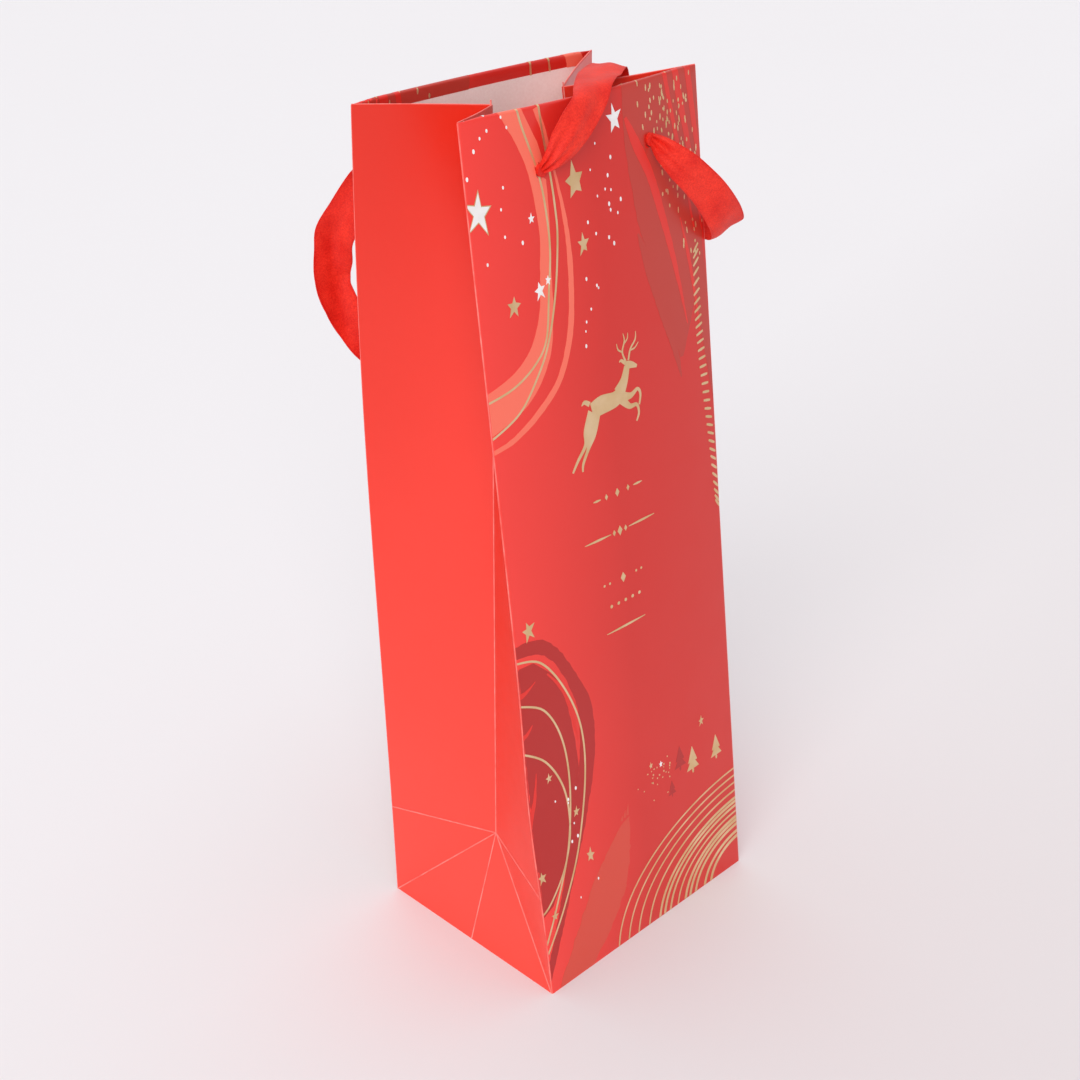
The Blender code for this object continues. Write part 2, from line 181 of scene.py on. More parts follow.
# Each handle: its side, route, length, and how far its face arches
HANDLES = (("front", FRONT_ROUTE, 0.2330, 0.0008), ("back", BACK_ROUTE, 0.2783, -0.0024))

# Artwork, in millimetres
ART_MARGIN = 0.35
ART_CELL = 4.0
FOLD_CUTS = 8
FOLD_CUT_PITCH = 0.45
ART_FOOT = 0.3

# Roughness of the printed paper
PRINT_GLOSS = 0.34

# The camera
TARGET = Vector((0.0, 0.0, 0.1762))
AZIMUTH = math.radians(-44.76)
ELEVATION = math.radians(27.04)
DISTANCE = 0.6814
ROLL = math.radians(-1.12)
LENS = 56.2
SENSOR = 36.0
SHIFT = (-0.0211, -0.0125)


# --- camera and light

def add_object(name, data):
    """Link a mesh, lamp or camera as a new object."""
    obj = bpy.data.objects.new(name, data)
    bpy.context.scene.collection.objects.link(obj)
    return obj


def build_camera():
    """Camera at the photograph's angle."""
    toward = Vector((
        math.sin(AZIMUTH) * math.cos(ELEVATION),
        -math.cos(AZIMUTH) * math.cos(ELEVATION),
        math.sin(ELEVATION),
    ))
    right = UP.cross(toward).normalized()
    up = toward.cross(right)
    rolled_right = right * math.cos(ROLL) + up * math.sin(ROLL)
    rolled_up = up * math.cos(ROLL) - right * math.sin(ROLL)
    data = bpy.data.cameras.new("camera")
    data.lens = LENS
    data.sensor_width = SENSOR
    data.shift_x, data.shift_y = SHIFT
    data.clip_start = 0.01
    camera = add_object("camera", data)
    matrix = Matrix((rolled_right, rolled_up, toward)).transposed().to_4x4()
    matrix.translation = TARGET + toward * DISTANCE
    camera.matrix_world = matrix
    bpy.context.scene.camera = camera


def sun_light(name, toward, spread, strength, color):
    """A distant lamp, wide enough for soft shadows."""
    data = bpy.data.lights.new(name, "SUN")
    data.energy = strength
    data.angle = math.radians(spread)
    data.color = color
    lamp = add_object(name, data)
    lamp.matrix_world = Vector(toward).to_track_quat("Z", "Y").to_matrix().to_4x4()


def build_light():
    """Even studio light: a bright surround, a soft key from the front left and a top fill."""
    world = bpy.data.worlds.new("studio")
    bpy.context.scene.world = world
    world.use_nodes = True
    background = world.node_tree.nodes["Background"]
    background.inputs["Color"].default_value = (0.95, 0.94, 0.97, 1.0)
    background.inputs["Strength"].default_value = 0.46
    sun_light("key", (-1.3, -0.90, 0.9), 50.0, 1.75, (1.0, 0.985, 0.965))
    sun_light("top", (0.10, 0.25, 1.0), 120.0, 1.25, (1.0, 1.0, 1.0))
    bpy.context.scene.view_settings.view_transform = "Standard"


# --- meshes

def mesh_from(name, verts, faces, materials, indices=None):
    """A mesh object with its materials and, where given, each face's material."""
    mesh = bpy.data.meshes.new(name)
    mesh.from_pydata([tuple(vert) for vert in verts], [], faces)
    for material in materials:
        mesh.materials.append(material)
    if indices:
        mesh.polygons.foreach_set("material_index", indices)
    return add_object(name, mesh)


def finish_mesh(obj, sharp):
    """Apply the modifiers, then shade smooth up to an angle."""
    graph = bpy.context.evaluated_depsgraph_get()
    mesh = bpy.data.meshes.new_from_object(obj.evaluated_get(graph))
    obj.modifiers.clear()
    obj.data = mesh
    mesh.shade_smooth()
    mesh.set_sharp_from_angle(angle=math.radians(sharp))
    return obj


def thicken(obj, thickness, offset=-1.0, inner=0):
    """Give a surface thickness on its inner side. inner shifts the material there."""
    solid = obj.modifiers.new("Thickness", "SOLIDIFY")
    solid.thickness = thickness
    solid.offset = offset
    solid.material_offset = inner


def grid_faces(rows, columns):
    """Quads of a grid that is stored row by row."""
    faces = []
    for row in range(rows - 1):
        for column in range(columns - 1):
            corner = row * columns + column
            faces.append((corner, corner + 1, corner + columns + 1, corner + columns))
    return faces


def steps(length, pitch, fine=()):
    """Regular steps over a length, with extra ones at the fine distances from both ends."""
    count = max(2, round(length / pitch))
    marks = {round(length * index / count, 6) for index in range(count + 1)}
    for distance in fine:
        marks.add(round(distance, 6))
        marks.add(round(length - distance, 6))
    return sorted(marks)


def smoothstep(value):
    """0 below 0, 1 above 1 and smooth between."""
    value = min(1.0, max(0.0, value))
    return value * value * (3.0 - 2.0 * value)


def catmull(before, start, end, after, t):
    """Catmull-Rom point between start and end."""
    return 0.5 * (
        2.0 * start + (end - before) * t
        + (2.0 * before - 5.0 * start + 4.0 * end - after) * t ** 2
        + (3.0 * start - before - 3.0 * end + after) * t ** 3
    )


def four_around(rows, index):
    """The ends of a span and their neighbours, held at the ends of the line."""
    last = len(rows) - 1
    return rows[max(index - 1, 0)], rows[index], rows[index + 1], rows[min(index + 2, last)]


def reach_at(points, index):
    """From the point before to the point after, held at the ends of the line."""
    return points[min(index + 1, len(points) - 1)] - points[max(index - 1, 0)]


def between(start, end, count):
    """Even points from start to end."""
    return [start + (end - start) * step / count for step in range(count + 1)]


def tube(name, points, radius, material, sides=6):
    """A round bead along a line of points."""
    verts = []
    for index, point in enumerate(points):
        along = reach_at(points, index).normalized()
        side = along.cross(Vector((0.31, 0.52, 0.79))).normalized()
        other = along.cross(side)
        for step in range(sides):
            turn = 2.0 * math.pi * step / sides
            verts.append(point + (side * math.cos(turn) + other * math.sin(turn)) * radius)
    faces = []
    for ring in range(len(points) - 1):
        for step in range(sides):
            near = ring * sides + step
            beside = ring * sides + (step + 1) % sides
            faces.append((near, beside, beside + sides, near + sides))
    last = (len(points) - 1) * sides
    faces.append(tuple(reversed(range(sides))))
    faces.append(tuple(range(last, last + sides)))
    return finish_mesh(mesh_from(name, verts, faces, [material]), 60.0)


# --- materials

class Graph:
    """Short helper to wire the nodes of one material."""

    def __init__(self, name):
        self.material = bpy.data.materials.new(name)
        self.material.use_nodes = True
        self.nodes = self.material.node_tree.nodes
        self.links = self.material.node_tree.links
        self.shader = self.nodes["Principled BSDF"]

    def add(self, kind, **settings):
        """Add a node and set its properties."""
        node = self.nodes.new(kind)
        for key, value in settings.items():
            setattr(node, key, value)
        return node

    def noise(self, scale, detail=3.0, roughness=0.5):
        """Noise in the object's own coordinates."""
        node = self.add("ShaderNodeTexNoise")
        node.inputs["Scale"].default_value = scale
        node.inputs["Detail"].default_value = detail
        node.inputs["Roughness"].default_value = roughness
        self.links.new(self.place(), node.inputs["Vector"])
        return node.outputs["Fac"]

    def place(self):
        """The object's own coordinates."""
        if not hasattr(self, "coordinates"):
            self.coordinates = self.add("ShaderNodeTexCoord")
        return self.coordinates.outputs["Object"]

    def parts(self, vector):
        """The X, Y and Z of a vector."""
        node = self.add("ShaderNodeSeparateXYZ")
        self.links.new(vector, node.inputs["Vector"])
        return node.outputs

    def ramp(self, value, low, high, start=0.3, end=0.7):
        """Two colours by a value."""
        node = self.add("ShaderNodeValToRGB")
        node.color_ramp.elements[0].position = start
        node.color_ramp.elements[0].color = (*low, 1.0)
        node.color_ramp.elements[1].position = end
        node.color_ramp.elements[1].color = (*high, 1.0)
        self.links.new(value, node.inputs["Fac"])
        return node.outputs["Color"]

    def map_range(self, value, low, high, start=0.3, end=0.7):
        """A value from noise, or from a given range, stretched to another range."""
        node = self.add("ShaderNodeMapRange")
        node.inputs["From Min"].default_value = start
        node.inputs["From Max"].default_value = end
        node.inputs["To Min"].default_value = low
        node.inputs["To Max"].default_value = high
        self.links.new(value, node.inputs["Value"])
        return node.outputs["Result"]

    def bump(self, value, strength, distance, normal=None):
        """Bump from a value, over another bump where given."""
        node = self.add("ShaderNodeBump")
        node.inputs["Strength"].default_value = strength
        node.inputs["Distance"].default_value = distance
        self.links.new(value, node.inputs["Height"])
        if normal:
            self.links.new(normal, node.inputs["Normal"])
        return node.outputs["Normal"]

    def math(self, operation, first, second):
        """A math node on a value and a value or number."""
        node = self.add("ShaderNodeMath", operation=operation)
        for socket, given in zip(node.inputs, (first, second)):
            if isinstance(given, (int, float)):
                socket.default_value = given
            else:
                self.links.new(given, socket)
        return node.outputs["Value"]

    def set(self, **values):
        """Constants or links on the shader. Underscores in names stand for spaces."""
        for key, value in values.items():
            socket = self.shader.inputs[key.replace("_", " ")]
            if isinstance(value, bpy.types.NodeSocket):
                self.links.new(value, socket)
            else:
                socket.default_value = value
        return self.material


def mixed(first, second, share):
    """A colour between two others."""
    return tuple(a + (b - a) * share for a, b in zip(first, second))


def srgb(code):
    """Linear colour of a six-digit sRGB code."""
    values = [int(code[index:index + 2], 16) / 255.0 for index in (0, 2, 4)]
    return tuple(v / 12.92 if v <= 0.04045 else ((v + 0.055) / 1.055) ** 2.4 for v in values)


def print_material(name, code, other=None, axis="X", reach=(-0.06, 0.0)):
    """Ink on coated art paper, with a satin coat. Where another colour is given, the colour shifts to it
    along an axis; on the red walls and gussets this is painted light and shade.
    """
    graph = Graph(name)
    # Shift along the axis: painted light and shade on the red walls and gussets
    drift = graph.map_range(graph.parts(graph.place())[axis], 0.0, 0.9, *reach)
    mottle = graph.math("MULTIPLY", graph.noise(14.0, 4.0), 0.2)
    satin = graph.noise(60.0, 3.0)
    normal = graph.bump(graph.noise(2600.0, 2.0), 0.10, 0.00003)
    normal = graph.bump(graph.noise(22.0, 2.0), 0.25, 0.0006, normal)
    return graph.set(
        Base_Color=graph.ramp(
            graph.math("ADD", drift, mottle), srgb(code), srgb(other or code), 0.05, 1.0,
        ),
        Roughness=graph.map_range(satin, PRINT_GLOSS - 0.04, PRINT_GLOSS + 0.05),
        Coat_Weight=0.15,
        Coat_Roughness=0.30,
        Specular_IOR_Level=0.45,
        Normal=normal,
    )


def paper_material(name, code, tint):
    """Uncoated paper or board: fibres, tone and a dry rough face."""
    graph = Graph(name)
    base = srgb(code)
    fibre = graph.noise(900.0, 6.0, 0.7)
    cloud = graph.noise(25.0, 3.0)
    value = graph.math("ADD", graph.math("MULTIPLY", fibre, 0.5), graph.math("MULTIPLY", cloud, 0.5))
    return graph.set(
        Base_Color=graph.ramp(value, mixed(base, srgb(tint), 0.6), base, 0.38, 0.62),
        Roughness=graph.map_range(fibre, 0.72, 0.9),
        Normal=graph.bump(fibre, 0.25, 0.00008),
    )


def crease_material(name, ink, bare, start, end):
    """A fold, where the ink is cracked and pale paper shows. The pale colour also stands as a painted
    highlight along the fold.
    """
    graph = Graph(name)
    crack = graph.noise(160.0, 5.0, 0.65)
    return graph.set(
        Base_Color=graph.ramp(crack, srgb(ink), srgb(bare), start, end),
        Roughness=graph.map_range(crack, 0.4, 0.65),
        Normal=graph.bump(crack, 0.4, 0.0001),
    )


def foil_material(name, code, roughness, metal=0.75):
    """Hot-stamped foil: thin metal with a slightly uneven face."""
    graph = Graph(name)
    base = srgb(code)
    grain = graph.noise(1500.0, 3.0)
    patch = graph.noise(90.0, 3.0)
    return graph.set(
        Base_Color=graph.ramp(patch, mixed(base, (0.25, 0.14, 0.06), 0.18), mixed(base, (1, 1, 1), 0.15)),
        Metallic=metal,
        Roughness=graph.map_range(grain, roughness - 0.06, roughness + 0.08),
        Normal=graph.bump(patch, 0.12, 0.0002),
    )


def ribbon_material(name):
    """Satin ribbon: fine ribs across, a woven edge on each side and a soft sheen."""
    graph = Graph(name)
    coordinates = graph.add("ShaderNodeUVMap", uv_map="weave")
    across, along, _ = graph.parts(coordinates.outputs["UV"])
    rib = graph.math("SINE", graph.math("MULTIPLY", along, 2.0 * math.pi / RIB_PITCH), 0.0)
    thread = graph.math("SINE", graph.math("MULTIPLY", across, 2.0 * math.pi / THREAD_PITCH), 0.0)
    weave = graph.math("ADD", rib, graph.math("MULTIPLY", thread, 0.5))
    from_middle = graph.math("ABSOLUTE", across, 0.0)
    edge = graph.math("GREATER_THAN", from_middle, RIBBON_WIDTH * 0.45)
    cloud = graph.noise(120.0, 3.0)
    slub = graph.noise(1500.0, 3.0, 0.7)
    tone = graph.math("ADD", graph.math("MULTIPLY", cloud, 0.35), graph.math("MULTIPLY", weave, 0.05))
    tone = graph.math("ADD", tone, graph.math("MULTIPLY", slub, 0.60))
    tone = graph.math("SUBTRACT", tone, graph.math("MULTIPLY", edge, 0.05))
    normal = graph.bump(weave, 0.35, 0.00006)
    normal = graph.bump(slub, 0.5, 0.00015, normal)
    normal = graph.bump(edge, 0.4, 0.0001, normal)
    return graph.set(
        Base_Color=graph.ramp(tone, srgb("D8160C"), srgb("FF3E2A"), 0.34, 0.64),
        Roughness=graph.map_range(slub, 0.45, 0.65),
        Sheen_Weight=0.10,
        Sheen_Roughness=0.4,
        Sheen_Tint=(1.0, 0.45, 0.4, 1.0),
        Specular_IOR_Level=0.3,
        Normal=normal,
    )


# Red walls: lighter at the left edge as a painted highlight, darker toward the middle and right as
# painted shade
RED_PRINT = print_material("red_print", "F63C34", "D4251C", "X", (-0.060, 0.000))
# Gussets: painted light and shade, lighter low down and darker toward the rim
GUSSET_PRINT = print_material("gusset_print", "F64436", "E22A14", "Z", (0.02, 0.34))
DARK_PRINT = print_material("dark_print", "B41A16", "C2362A", "Z", (0.15, 0.25))
CORAL_PRINT = print_material("coral_print", "F8705A")
DRY_PRINT = print_material("dry_print", "D84634")
BRIGHT_PRINT = print_material("bright_print", "E42A20")
# The white paper's pink cast is painted light: red light passing through and reflected from the red sheet
WHITE_PAPER = paper_material("white_paper", "FFEAE6", "F0CFCA")
BOARD = paper_material("grey_board", "C9BFB2", "A3978A")
# Pale beads on the folds and edges: worn ink and a painted highlight
WORN_AND_LIT_EDGE = crease_material("worn_and_lit_edge", "EE4E44", "F98B82", 0.30, 0.75)
SOFT_CREASE = crease_material("soft_crease", "F25A50", "FF9C94", 0.25, 0.75)
GOLD_FOIL = foil_material("gold_foil", "EAC68E", 0.34)
# Foil drawn white where it flashes: a painted glint
FOIL_GLINT = foil_material("foil_glint", "FFFFFF", 0.42, 0.15)
RIBBON = ribbon_material("satin_ribbon")


# --- surfaces of the bag

def wall_rise(wall):
    """Height of a broad wall along its slope."""
    return math.hypot(RIM_Z, RIM_Y[wall] - HALF_DEPTH * OUTWARD[wall])


def wall_face(wall, s, z):
    """Point on the outer face of a broad wall. s runs from -1 to 1 along x."""
    t = max(0.0, z) / RIM_Z
    out = OUTWARD[wall]
    x = s * HALF_WIDTH + RIM_SHIFT[wall] * t
    y = out * HALF_DEPTH + (RIM_Y[wall] - out * HALF_DEPTH) * t
    y += out * BOW[wall] * (1.0 - s * s) * t ** BOW_POWER
    left = ((1.0 - s) / 2.0) ** 2
    if wall == "front":
        y += FRONT_DENT * math.exp(-((z - FRONT_DENT_Z) / FRONT_DENT_REACH) ** 2) * left
    else:
        y += BACK_SWELL * math.sin(math.pi * min(1.0, t) ** 1.6) * left
    inset = (1.0 - abs(s)) * HALF_WIDTH
    if inset < FOLD_RADIUS:
        y -= out * (FOLD_RADIUS - math.sqrt(FOLD_RADIUS ** 2 - (FOLD_RADIUS - inset) ** 2))
    return Vector((x, y, z))


def hem_gap(s):
    """Distance between the wall's face and its turned-in hem, wider where a card fills it."""
    share = smoothstep((1.0 - abs(s)) / CARD_CLEARANCE)
    return CORNER_HEM_GAP + (HEM_GAP - CORNER_HEM_GAP) * share


def turned_in(base, inward, gap, over, lower):
    """Point past the rim: round the fold, then down the hem by calling lower(distance)."""
    fold = math.pi * gap / 2.0
    if over < fold:
        radius = gap / 2.0
        turn = over / radius
        return base + inward * radius * (1.0 - math.cos(turn)) + UP * radius * math.sin(turn)
    return lower(over - fold) + inward * gap


def wall_point(wall, across, height):
    """Point at a place on the flat printed sheet of a wall, as seen from outside, in metres."""
    s = -OUTWARD[wall] * across / HALF_WIDTH
    rise = wall_rise(wall)
    if height <= rise:
        return wall_face(wall, s, height * RIM_Z / rise)
    inward = Vector((0.0, -OUTWARD[wall], 0.0))
    return turned_in(
        wall_face(wall, s, RIM_Z), inward, hem_gap(s), height - rise,
        lambda down: wall_face(wall, s, RIM_Z - down),
    )


def wall_normal(wall, across, height):
    """Outward direction of the printed face."""
    reach = 0.0003
    limit = HALF_WIDTH - 0.0001
    right = wall_point(wall, min(limit, across + reach), height)
    left = wall_point(wall, max(-limit, across - reach), height)
    above = wall_point(wall, across, height + reach)
    below = wall_point(wall, across, max(0.0, height - reach))
    return (right - left).cross(above - below).normalized()


def hem_marks(folds, printed, bare):
    """Steps over the rim: round the fold, down the printed hem, then down the bare hem."""
    marks = [("fold", index / folds) for index in range(1, folds + 1)]
    marks += [("hem", PRINTED_HEM * index / printed) for index in range(1, printed + 1)]
    bare_hem = HEM - PRINTED_HEM
    return marks + [("hem", PRINTED_HEM + bare_hem * index / bare) for index in range(1, bare + 1)]


def wall_sheet(wall):
    """A broad wall of printed paper, folded over at the rim and turned in."""
    rise = wall_rise(wall)
    widths = steps(2.0 * HALF_WIDTH, SHEET_CELL, (0.0001, 0.0003, 0.0006, 0.0012, 0.0025))
    marks = [("up", height) for height in steps(rise, SHEET_ROW, (0.001, 0.0025))]
    marks += hem_marks(6, 3, 6)
    verts = []
    for kind, value in marks:
        for width in widths:
            across = width - HALF_WIDTH
            fold = math.pi * hem_gap(across / HALF_WIDTH) / 2.0
            height = {"up": value, "fold": rise + value * fold, "hem": rise + fold + value}[kind]
            inset = {"up": 0.0, "fold": HEM_INSET * value, "hem": HEM_INSET}[kind]
            verts.append(wall_point(wall, across * (1.0 - inset / HALF_WIDTH), height))
    faces = grid_faces(len(marks), len(widths))
    bare = [kind == "hem" and value > PRINTED_HEM for kind, value in marks]
    columns = len(widths) - 1
    indices = [int(bare[face // columns + 1]) for face in range(len(faces))]
    obj = mesh_from(wall + "_wall", verts, faces, [RED_PRINT, WHITE_PAPER, WHITE_PAPER], indices)
    thicken(obj, PAPER, inner=1)
    return pierce(finish_mesh(obj, 30.0), wall)


def pierce(obj, wall):
    """Cut the two ribbon holes."""
    for place in HOLES[wall]:
        cutter = bmesh.new()
        turn = Matrix.Rotation(math.radians(90.0), 4, "X")
        bmesh.ops.create_cone(
            cutter, cap_ends=True, segments=24, radius1=HOLE_RADIUS, radius2=HOLE_RADIUS,
            depth=0.024, matrix=Matrix.Translation(place) @ turn,
        )
        mesh = bpy.data.meshes.new("cutter")
        cutter.to_mesh(mesh)
        cutter.free()
        tool = add_object("cutter", mesh)
        cut = obj.modifiers.new("Hole", "BOOLEAN")
        cut.operation = "DIFFERENCE"
        cut.solver = "EXACT"
        cut.object = tool
        finish_mesh(obj, 30.0)
        bpy.data.objects.remove(tool)
    return obj


def wall_strip(name, wall, across, heights, depth, thickness, material):
    """A strip behind a broad wall, such as the rim card, that follows the wall's bow."""
    widths = steps(across[1] - across[0], SHEET_CELL)
    levels = steps(heights[1] - heights[0], SHEET_ROW)
    verts = []
    for level in levels:
        for width in widths:
            place = (across[0] + width, heights[0] + level)
            inward = -wall_normal(wall, *place)
            verts.append(wall_point(wall, *place) + inward * depth)
    obj = mesh_from(name, verts, grid_faces(len(levels), len(widths)), [material])
    thicken(obj, thickness)
    return finish_mesh(obj, 30.0)


# --- gussets

def gusset_frame(side, half):
    """The corner points of one gusset half, and the direction into the bag at its rim."""
    sign = SIGN[side]
    floor = wall_face(half, sign, 0.0)
    foot = Vector((sign * HALF_WIDTH, 0.0, 0.0))
    score = wall_face(half, sign, SCORE_Z)
    inner_score = Vector((sign * SCORE_APEX_X, SCORE_APEX_Y, SCORE_Z))
    apex = Vector((*RIM_APEX[side], APEX_Z))
    along = apex - wall_face(half, sign, RIM_Z)
    inward = Vector((along.y, -along.x, 0.0)).normalized()
    if inward.y * OUTWARD[half] < 0.0:
        inward = -inward
    return floor, foot, score, inner_score, apex, inward


def gusset_upper(side, half, a, z):
    """Point of the upper part: a runs from the wall's edge, 0, to the inner crease, 1."""
    *_, inner_score, apex, inward = gusset_frame(side, half)
    share = (z - SCORE_Z) / (RIM_Z - SCORE_Z)
    edge = wall_face(half, SIGN[side], z)
    crease = inner_score + (apex - inner_score) * share
    bulge = GUSSET_BULGE * math.sin(math.pi * a) * smoothstep(share * 1.5)
    bulge *= 1.0 - 0.75 * share ** 4
    return edge + (crease - edge) * a + inward * bulge


def gusset_lower(side, half, a, rise):
    """Point of the lower part: rise runs from the floor, 0, to the score line, 1."""
    floor, foot, score, inner_score, *_ = gusset_frame(side, half)
    if a >= rise:
        return floor + (foot - floor) * a + (inner_score - foot) * rise
    straight = floor + (score - floor) * rise
    edge = wall_face(half, SIGN[side], SCORE_Z * rise)
    return straight + (inner_score - score) * a + (edge - straight) * (1.0 - a / rise)


def rim_level(a):
    """Height of a gusset's rim: a runs from the wall's edge, 0, to the inner crease, 1."""
    return RIM_Z + (APEX_Z - RIM_Z) * a


def gusset_verts(side, half, shares):
    """The rows of a gusset half, and how many there are."""
    inward = gusset_frame(side, half)[-1]
    fold = math.pi * GUSSET_HEM_GAP / 2.0
    levels = steps(1.0, 0.022, (0.004,))[1:]
    hems = hem_marks(4, 2, BARE_GUSSET_ROWS)
    verts = [gusset_lower(side, half, a, rise) for rise in shares for a in shares]
    for level in levels:
        for a in shares:
            verts.append(gusset_upper(side, half, a, SCORE_Z + (rim_level(a) - SCORE_Z) * level))
    for kind, value in hems:
        over = fold * value if kind == "fold" else fold + value
        for a in shares:
            top = rim_level(a)
            verts.append(turned_in(
                gusset_upper(side, half, a, top), inward, GUSSET_HEM_GAP, over,
                lambda down: gusset_upper(side, half, a, top - down),
            ))
    return verts, len(shares) + len(levels) + len(hems)


def gusset_half(side, half):
    """Half of a gusset as one folded sheet, from the floor over the rim to its hem."""
    shares = steps(1.0, 0.1, (0.012, 0.04))
    count = len(shares)
    verts, rows = gusset_verts(side, half, shares)
    faces = []
    indices = []
    for row in range(rows - 1):
        for column in range(count - 1):
            near = row * count + column
            beside, above, across = near + 1, near + count, near + count + 1
            if row == column:
                # The diagonal crease of the base runs along these faces
                faces += [(near, beside, across), (near, across, above)]
                indices += [0, 0]
            else:
                faces.append((near, beside, across, above))
                indices.append(int(row >= rows - 1 - BARE_GUSSET_ROWS))
    if (side == "left") == (half == "front"):
        faces = [tuple(reversed(face)) for face in faces]
    materials = [GUSSET_PRINT, WHITE_PAPER, WHITE_PAPER]
    obj = mesh_from(f"{side}_gusset_{half}", verts, faces, materials, indices)
    thicken(obj, PAPER, inner=1)
    return finish_mesh(obj, 14.0)


# --- ribbons and knots

def route_sections(rows):
    """Middle, across direction and openness at close steps along a ribbon's route."""
    knots = [(Vector(place), Vector(across).normalized(), opened) for place, across, opened in rows]
    sections = []
    for index in range(len(knots) - 1):
        before, start, end, after = four_around(knots, index)
        for step in range(RIBBON_STEPS):
            t = step / RIBBON_STEPS
            place = catmull(before[0], start[0], end[0], after[0], t)
            across = start[1].lerp(end[1], t).normalized()
            sections.append((place, across, start[2] + (end[2] - start[2]) * t))
    sections.append(knots[-1])
    return sections


def ribbon(name, rows, cup):
    """A satin ribbon: cupped along its length and gathered into pleats at the holes."""
    sections = route_sections(rows)
    path = [section[0] for section in sections]
    verts = []
    weave = []
    travelled = 0.0
    for index, (place, across, opened) in enumerate(sections):
        face = reach_at(path, index).normalized().cross(across).normalized()
        if index:
            travelled += (place - path[index - 1]).length
        half = (RIBBON_NECK + (RIBBON_WIDTH - RIBBON_NECK) * opened) / 2.0
        gathered = (1.0 - opened) ** 0.8
        for cell in range(RIBBON_CELLS + 1):
            u = 2.0 * cell / RIBBON_CELLS - 1.0
            lift = PLEAT * gathered * math.cos(u * 3.0 * math.pi)
            lift += cup * opened * (1.0 - abs(u) ** 1.5)
            for depth, rate, skew in RIPPLES:
                lift += depth * opened * math.sin(travelled * rate + skew * u)
            verts.append(place + across * (u * half) + face * lift)
            weave.append((u * RIBBON_WIDTH / 2.0, travelled))
    obj = mesh_from(name, verts, grid_faces(len(sections), RIBBON_CELLS + 1), [RIBBON])
    layer = obj.data.uv_layers.new(name="weave")
    for loop in obj.data.loops:
        layer.data[loop.index].uv = weave[loop.vertex_index]
    thicken(obj, RIBBON_THICKNESS, offset=0.0)
    finish_mesh(obj, 50.0)
    return obj, path


def knot_line(turn):
    """Point of an overhand loop: a small trefoil, 1 unit across."""
    return Vector((
        math.sin(turn) + 2.0 * math.sin(2.0 * turn),
        math.cos(turn) - 2.0 * math.cos(2.0 * turn),
        -math.sin(3.0 * turn) * 1.3,
    )) / 3.0


def knot_strands(spin):
    """The lines of a knot behind its hole: the loop, the neck in the hole and the cut tail."""
    behind = Vector((0.0, 0.0, KNOT_DEPTH))
    turns = 42
    loop = [
        knot_line(2.0 * math.pi * step / turns + spin) * KNOT_LOOP + behind
        for step in range(turns + 1)
    ]
    neck = [Vector((0.0, 0.0, NECK_TOP - NECK_LENGTH * step / 8.0)) for step in range(9)]
    turn = spin * 1.7
    tail_step = Vector((math.cos(turn) * TAIL_REACH, math.sin(turn) * TAIL_REACH, -TAIL_DROP))
    tail = [behind + tail_step * step for step in range(9)]
    return loop, neck, tail


def knot(name, hole, outward, spin):
    """A stopper knot tied in the gathered ribbon behind a hole, with its neck and cut tail."""
    turned = outward.to_track_quat("Z", "Y").to_matrix()
    merged = bmesh.new()
    for radius, line in zip(STRAND_RADII, knot_strands(spin)):
        strand = tube(name, [Vector(hole) + turned @ point for point in line], radius, RIBBON, 10)
        merged.from_mesh(strand.data)
        bpy.data.objects.remove(strand)
    mesh = bpy.data.meshes.new(name)
    merged.to_mesh(mesh)
    merged.free()
    mesh.materials.append(RIBBON)
    layer = mesh.uv_layers.new(name="weave")
    for loop in mesh.loops:
        point = mesh.vertices[loop.vertex_index].co
        layer.data[loop.index].uv = (point.x + point.y, point.z * 1.5)
    return add_object(name, mesh)


# --- printed artwork

def smooth_line(points, pitch):
    """Close points along a smooth line through given ones. Extra values ride along."""
    rows = [Vector(point) for point in points]
    line = []
    for index in range(len(rows) - 1):
        before, start, end, after = four_around(rows, index)
        count = max(2, round((end - start).length / pitch))
        for step in range(count):
            line.append(catmull(before, start, end, after, step / count))
    line.append(rows[-1])
    return line


def art_row(art, start, end, cells):
    """A row of points across a stroke or painted area."""
    places = [start + (end - start) * cell / cells for cell in range(cells + 1)]
    return [art.verts.new((place.x, place.y, 0.0)) for place in places]


def join_rows(art, earlier, later):
    """Faces between two rows of points, turned to the viewer."""
    for cell in range(len(later) - 1):
        art.faces.new((earlier[cell + 1], earlier[cell], later[cell], later[cell + 1]))


def stroke(art, points, widths, rag=0.0, rng=None, pitch=2.0):
    """A stroke of a brush or pen along a smooth line, in millimetres."""
    if isinstance(widths, (int, float)):
        widths = [widths] * len(points)
    line = smooth_line([(x, h, width) for (x, h), width in zip(points, widths)], pitch)
    cells = max(1, math.ceil(max(widths) / ART_CELL))
    previous = None
    for index, point in enumerate(line):
        along = reach_at(line, index).to_2d().normalized()
        side = Vector((-along.y, along.x))
        half = max(0.02, point.z / 2.0)
        edges = (-half, half)
        if rag:
            edges = (-half + rng.uniform(-rag, rag), half + rng.uniform(-rag, rag))
        row = art_row(art, point.to_2d() + side * edges[0], point.to_2d() + side * edges[1], cells)
        if previous:
            join_rows(art, previous, row)
        previous = row


def patch(art, left, right, rows, rag, rng):
    """A painted area between two edges that run down the sheet, in millimetres."""
    sides = []
    for points in (left, right):
        line = [point.to_2d() for point in smooth_line([(x, h, 0.0) for x, h in points], 1.0)]
        sides.append([line[round(index * (len(line) - 1) / rows)] for index in range(rows + 1)])
    widest = max((b - a).length for a, b in zip(*sides))
    cells = max(1, math.ceil(widest / ART_CELL))
    previous = None
    for start, end in zip(*sides):
        jitter = Vector((rng.uniform(-rag, rag), 0.0))
        row = art_row(art, start + jitter, end + jitter, cells)
        if previous:
            join_rows(art, previous, row)
        previous = row


